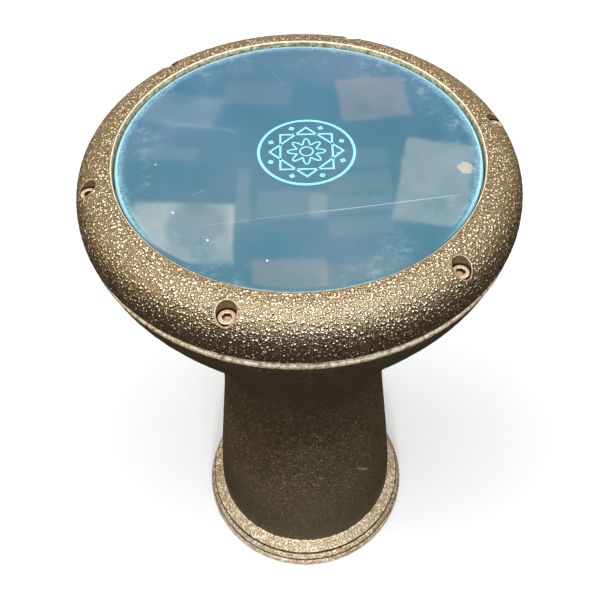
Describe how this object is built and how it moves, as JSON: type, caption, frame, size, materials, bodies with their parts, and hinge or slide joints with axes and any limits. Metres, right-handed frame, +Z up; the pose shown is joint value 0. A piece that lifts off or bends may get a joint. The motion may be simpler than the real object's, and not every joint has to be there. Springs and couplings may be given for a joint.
{
  "type": "darbuka",
  "caption": "Goblet drum with a cast metal body, a flared stepped foot and a flat blue film head held by a rounded, screw-tensioned ring.",
  "frame": {"origin": "centre of the foot ring's underside, on the floor", "axes": "+Z up along the drum's own axis, towards the head; the player's side is -Y"},
  "size_m": [0.276, 0.276, 0.435],
  "materials": {
    "ring_paint": "hammertone bronze paint over cast aluminium, satin",
    "bowl_paint": "dark bronze speckled paint over cast aluminium, satin",
    "neck_paint": "dark bronze speckled paint over cast aluminium, satin",
    "foot_paint": "hammertone light bronze paint over cast aluminium, satin",
    "head_film": "glossy translucent polyester film",
    "hoop_metal": "plain rolled channel",
    "hoop_resin": "cast resin, matt",
    "screw_steel": "zinc plating gone brown with rust",
    "insert_steel": "turned steel"
  },
  "bodies": {
    "shell": {"bowl": "bowl_paint", "neck": "neck_paint", "foot_ring": "foot_paint", "drumhead_film": "head_film", "threaded_insert_1": "insert_steel", "threaded_insert_2": "insert_steel", "threaded_insert_3": "insert_steel", "threaded_insert_4": "insert_steel", "threaded_insert_5": "insert_steel", "threaded_insert_6": "insert_steel"},
    "ring": {"tuning_ring": "ring_paint", "head_hoop": "hoop_metal", "hoop_resin": "hoop_resin"},
    "bolt_1": {"tuning_bolt_1": "screw_steel"},
    "bolt_2": {"tuning_bolt_2": "screw_steel"},
    "bolt_3": {"tuning_bolt_3": "screw_steel"},
    "bolt_4": {"tuning_bolt_4": "screw_steel"},
    "bolt_5": {"tuning_bolt_5": "screw_steel"},
    "bolt_6": {"tuning_bolt_6": "screw_steel"}
  },
  "joints": [
    {"name": "ring_tension", "type": "slide", "parent": "shell", "child": "ring", "axis": [0, 0, 1], "range_m": [-0.0015, 0.002]},
    {"name": "bolt_1_turn", "type": "hinge", "parent": "ring", "child": "bolt_1", "pos_m": [-0.03876, -0.12146, 0.421], "axis": [0, 0, 1], "range_deg": [-540, 720]},
    {"name": "bolt_2_turn", "type": "hinge", "parent": "ring", "child": "bolt_2", "pos_m": [0.08581, -0.0943, 0.421], "axis": [0, 0, 1], "range_deg": [-540, 720]},
    {"name": "bolt_3_turn", "type": "hinge", "parent": "ring", "child": "bolt_3", "pos_m": [0.12457, 0.02716, 0.421], "axis": [0, 0, 1], "range_deg": [-540, 720]},
    {"name": "bolt_4_turn", "type": "hinge", "parent": "ring", "child": "bolt_4", "pos_m": [0.03876, 0.12146, 0.421], "axis": [0, 0, 1], "range_deg": [-540, 720]},
    {"name": "bolt_5_turn", "type": "hinge", "parent": "ring", "child": "bolt_5", "pos_m": [-0.08581, 0.0943, 0.421], "axis": [0, 0, 1], "range_deg": [-540, 720]},
    {"name": "bolt_6_turn", "type": "hinge", "parent": "ring", "child": "bolt_6", "pos_m": [-0.12457, -0.02716, 0.421], "axis": [0, 0, 1], "range_deg": [-540, 720]}
  ],
  "couplings": [
    {"joint": "bolt_1_turn", "follows": "ring_tension", "rad_per_m": 6283.2},
    {"joint": "bolt_2_turn", "follows": "ring_tension", "rad_per_m": 6283.2},
    {"joint": "bolt_3_turn", "follows": "ring_tension", "rad_per_m": 6283.2},
    {"joint": "bolt_4_turn", "follows": "ring_tension", "rad_per_m": 6283.2},
    {"joint": "bolt_5_turn", "follows": "ring_tension", "rad_per_m": 6283.2},
    {"joint": "bolt_6_turn", "follows": "ring_tension", "rad_per_m": 6283.2}
  ]
}
